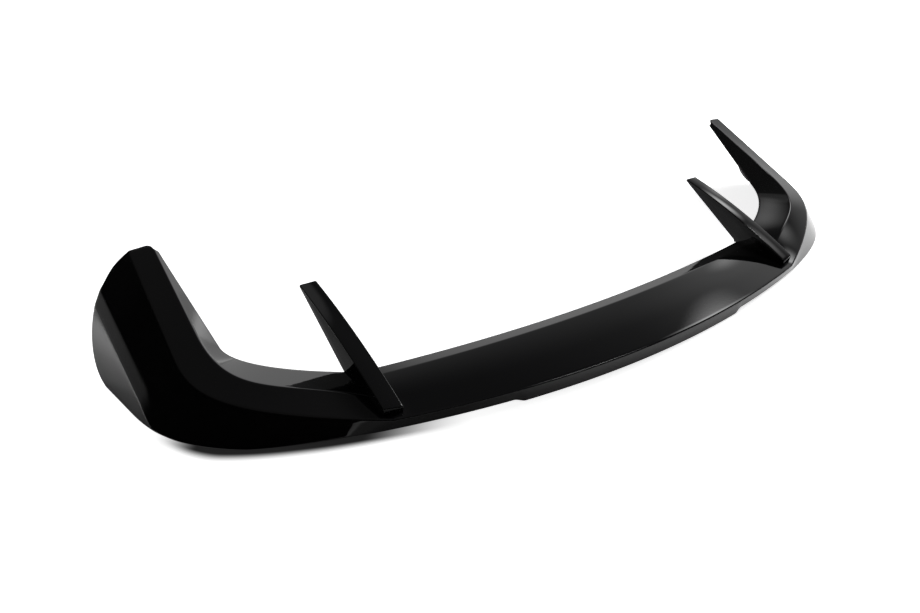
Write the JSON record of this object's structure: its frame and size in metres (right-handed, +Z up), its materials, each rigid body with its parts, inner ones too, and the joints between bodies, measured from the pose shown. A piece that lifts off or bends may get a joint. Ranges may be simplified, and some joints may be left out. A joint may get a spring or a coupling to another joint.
{
  "type": "roof spoiler",
  "caption": "Gloss black moulded roof spoiler: a slim bowed trailing bar swept at its ends into rising arms with flared skirts, with raised fins and an underside left open for bonding.",
  "frame": {"origin": "the middle of the part's bounding box in plan, on the plane that its lower edges lie on", "axes": "+X to the right across the car, +Y forwards from the trailing edge towards the arms' tips, +Z up from the plane of the lower edges"},
  "size_m": [1.1892, 0.364, 0.1116],
  "materials": {
    "gloss_black": "high gloss piano black, lightly dusty"
  },
  "bodies": {
    "root": {"spoiler_shell": "gloss_black"}
  },
  "joints": []
}
